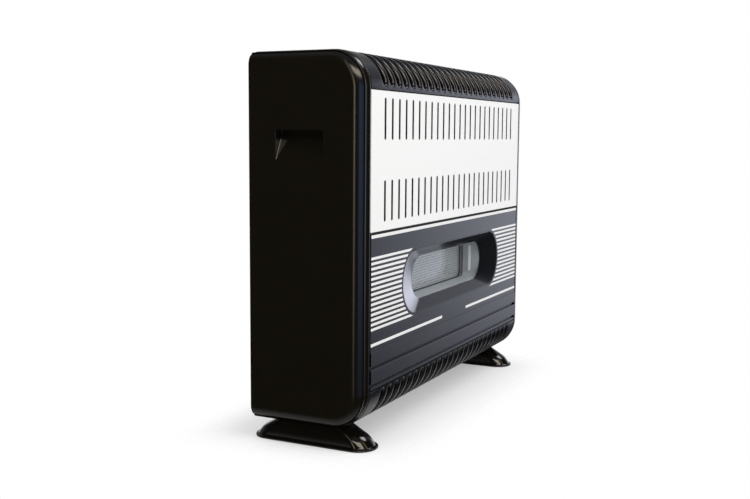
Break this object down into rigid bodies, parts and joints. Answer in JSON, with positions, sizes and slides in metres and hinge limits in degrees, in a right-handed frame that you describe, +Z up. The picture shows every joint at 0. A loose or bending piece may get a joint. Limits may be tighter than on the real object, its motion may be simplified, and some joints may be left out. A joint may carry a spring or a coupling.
{
  "type": "wall mounted gas heater",
  "caption": "Balanced flue gas convector heater: slotted steel casing with rounded side caps, a low viewing window, side controls and two spread feet.",
  "frame": {"origin": "centre of the bounding box on the floor plane under the feet", "axes": "+X across the width towards the side with the controls, +Y towards the wall, +Z up"},
  "size_m": [0.775, 0.2542, 0.6395],
  "materials": {
    "cap_black": "satin",
    "grille_black": "satin",
    "panel_white": "satin",
    "panel_dark": "satin",
    "bezel_dark": "satin",
    "tunnel_grey": "satin",
    "bright_steel": "brushed",
    "clear_glass": "polished",
    "rope_gasket": "woven",
    "gauze_steel": "oxidised",
    "zinc_steel": "zinc plated",
    "foot_black": "semi-gloss moulded",
    "chamber_black": "heat resistant matt",
    "flue_aluminium": "satin",
    "burner_steel": "heat tinted",
    "brass": "turned",
    "copper": "drawn copper",
    "knob_black": "fine texture",
    "button_red": "gloss",
    "piezo_white": "smooth",
    "porcelain": "glazed",
    "lead_white": "silicone"
  },
  "bodies": {
    "casing": {"left_side_cap": "cap_black", "right_side_cap": "cap_black", "left_hand_grip": "cap_black", "right_hand_grip": "cap_black", "top_grille": "grille_black", "upper_front_panel": "panel_white", "lower_front_panel": "panel_dark", "bottom_grille": "grille_black", "window_bezel": "bezel_dark", "window_tunnel": "tunnel_grey", "glass_retainers": "bright_steel", "window_glass": "clear_glass", "glass_gasket": "rope_gasket", "window_gauze": "gauze_steel", "left_end_frame": "zinc_steel", "right_end_frame": "zinc_steel", "top_rail": "zinc_steel", "middle_rail": "zinc_steel", "bottom_rail": "zinc_steel", "base_plate": "zinc_steel", "back_panel": "cap_black", "left_foot": "foot_black", "right_foot": "foot_black", "foot_screws": "zinc_steel", "side_cap_screws": "zinc_steel", "back_panel_screws": "zinc_steel", "wall_bracket": "zinc_steel", "combustion_chamber": "chamber_black", "cooling_fins": "chamber_black", "chamber_stands": "zinc_steel", "fresh_air_duct": "zinc_steel", "exhaust_pipe": "bright_steel", "fresh_air_pipe": "flue_aluminium", "flue_gasket": "rope_gasket", "heat_shields": "bright_steel", "hot_air_deflector": "bright_steel", "burner_tube": "burner_steel", "burner_brackets": "zinc_steel", "gas_injector": "brass", "injector_bracket": "zinc_steel", "gas_valve_body": "flue_aluminium", "valve_bracket": "zinc_steel", "piezo_igniter": "piezo_white", "piezo_nut": "zinc_steel", "ignition_lead": "lead_white", "pilot_burner": "brass", "pilot_bracket": "zinc_steel", "pilot_tube": "copper", "thermocouple": "copper", "spark_electrode": "porcelain", "thermostat_bulb": "copper", "bulb_clip": "zinc_steel", "burner_feed_pipe": "burner_steel", "gas_inlet_pipe": "brass"},
    "push_sleeve": {"push_sleeve": "brass"},
    "control_knob": {"valve_spindle": "burner_steel", "control_knob": "knob_black"},
    "igniter_button": {"igniter_button": "button_red"}
  },
  "joints": [
    {"name": "knob_push", "type": "slide", "parent": "casing", "child": "push_sleeve", "axis": [-1, 0, 0], "range_m": [0, 0.004], "stiffness_N_per_m": 600, "springref_m": -0.004},
    {"name": "knob_turn", "type": "hinge", "parent": "push_sleeve", "child": "control_knob", "pos_m": [0.375, -0.0339, 0.227], "axis": [1, 0, 0], "range_deg": [0, 270]},
    {"name": "igniter_push", "type": "slide", "parent": "casing", "child": "igniter_button", "axis": [-1, 0, 0], "range_m": [0, 0.006], "stiffness_N_per_m": 700, "springref_m": -0.004}
  ]
}
